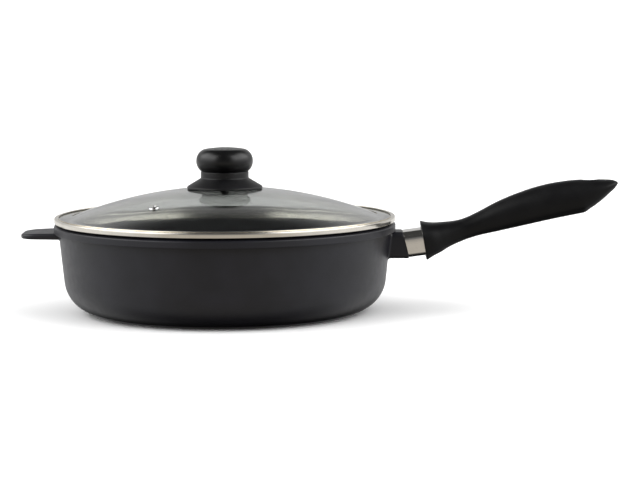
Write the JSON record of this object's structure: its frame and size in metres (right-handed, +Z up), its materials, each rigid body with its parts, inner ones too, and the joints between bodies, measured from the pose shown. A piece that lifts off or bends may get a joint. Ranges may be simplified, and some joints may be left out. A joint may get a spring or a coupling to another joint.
{
  "type": "saute pan with lid",
  "caption": "Deep cast aluminium saute pan with a domed glass lid, a long screwed-on handle and a helper tongue.",
  "frame": {"origin": "centre of the base's underside, on the surface that the pan stands on", "axes": "+X towards the long handle, +Z up along the pan's axis, +Y to the left of the handle seen from above"},
  "size_m": [0.5027, 0.288, 0.1388],
  "materials": {
    "cast_body": "satin dark grey baked coating",
    "phenolic_matte": "fine matte moulded",
    "phenolic_gloss": "soft gloss moulded",
    "band_steel": "bright rolled stainless",
    "guard_steel": "drawn stainless",
    "eyelet_steel": "polished stainless",
    "lid_glass": "clear toughened glass",
    "fastener_steel": "zinc plated",
    "insert_brass": "turned",
    "silicone": "matte silicone"
  },
  "bodies": {
    "pan": {"pan_body": "cast_body", "boss_insert": "fastener_steel", "flame_guard": "guard_steel", "handle_grip": "phenolic_matte", "handle_screw": "fastener_steel", "spring_washer": "fastener_steel", "flat_washer": "fastener_steel"},
    "lid": {"lid_glass": "lid_glass", "lid_band": "band_steel", "vent_eyelet": "eyelet_steel", "knob_head": "phenolic_gloss", "knob_skirt": "phenolic_matte", "knob_insert": "insert_brass", "knob_screw": "fastener_steel", "knob_washer": "fastener_steel", "glass_grommet": "silicone"}
  },
  "joints": [
    {"name": "lid_lift", "type": "slide", "parent": "pan", "child": "lid", "axis": [0, 0, 1], "range_m": [0, 0.12]}
  ]
}
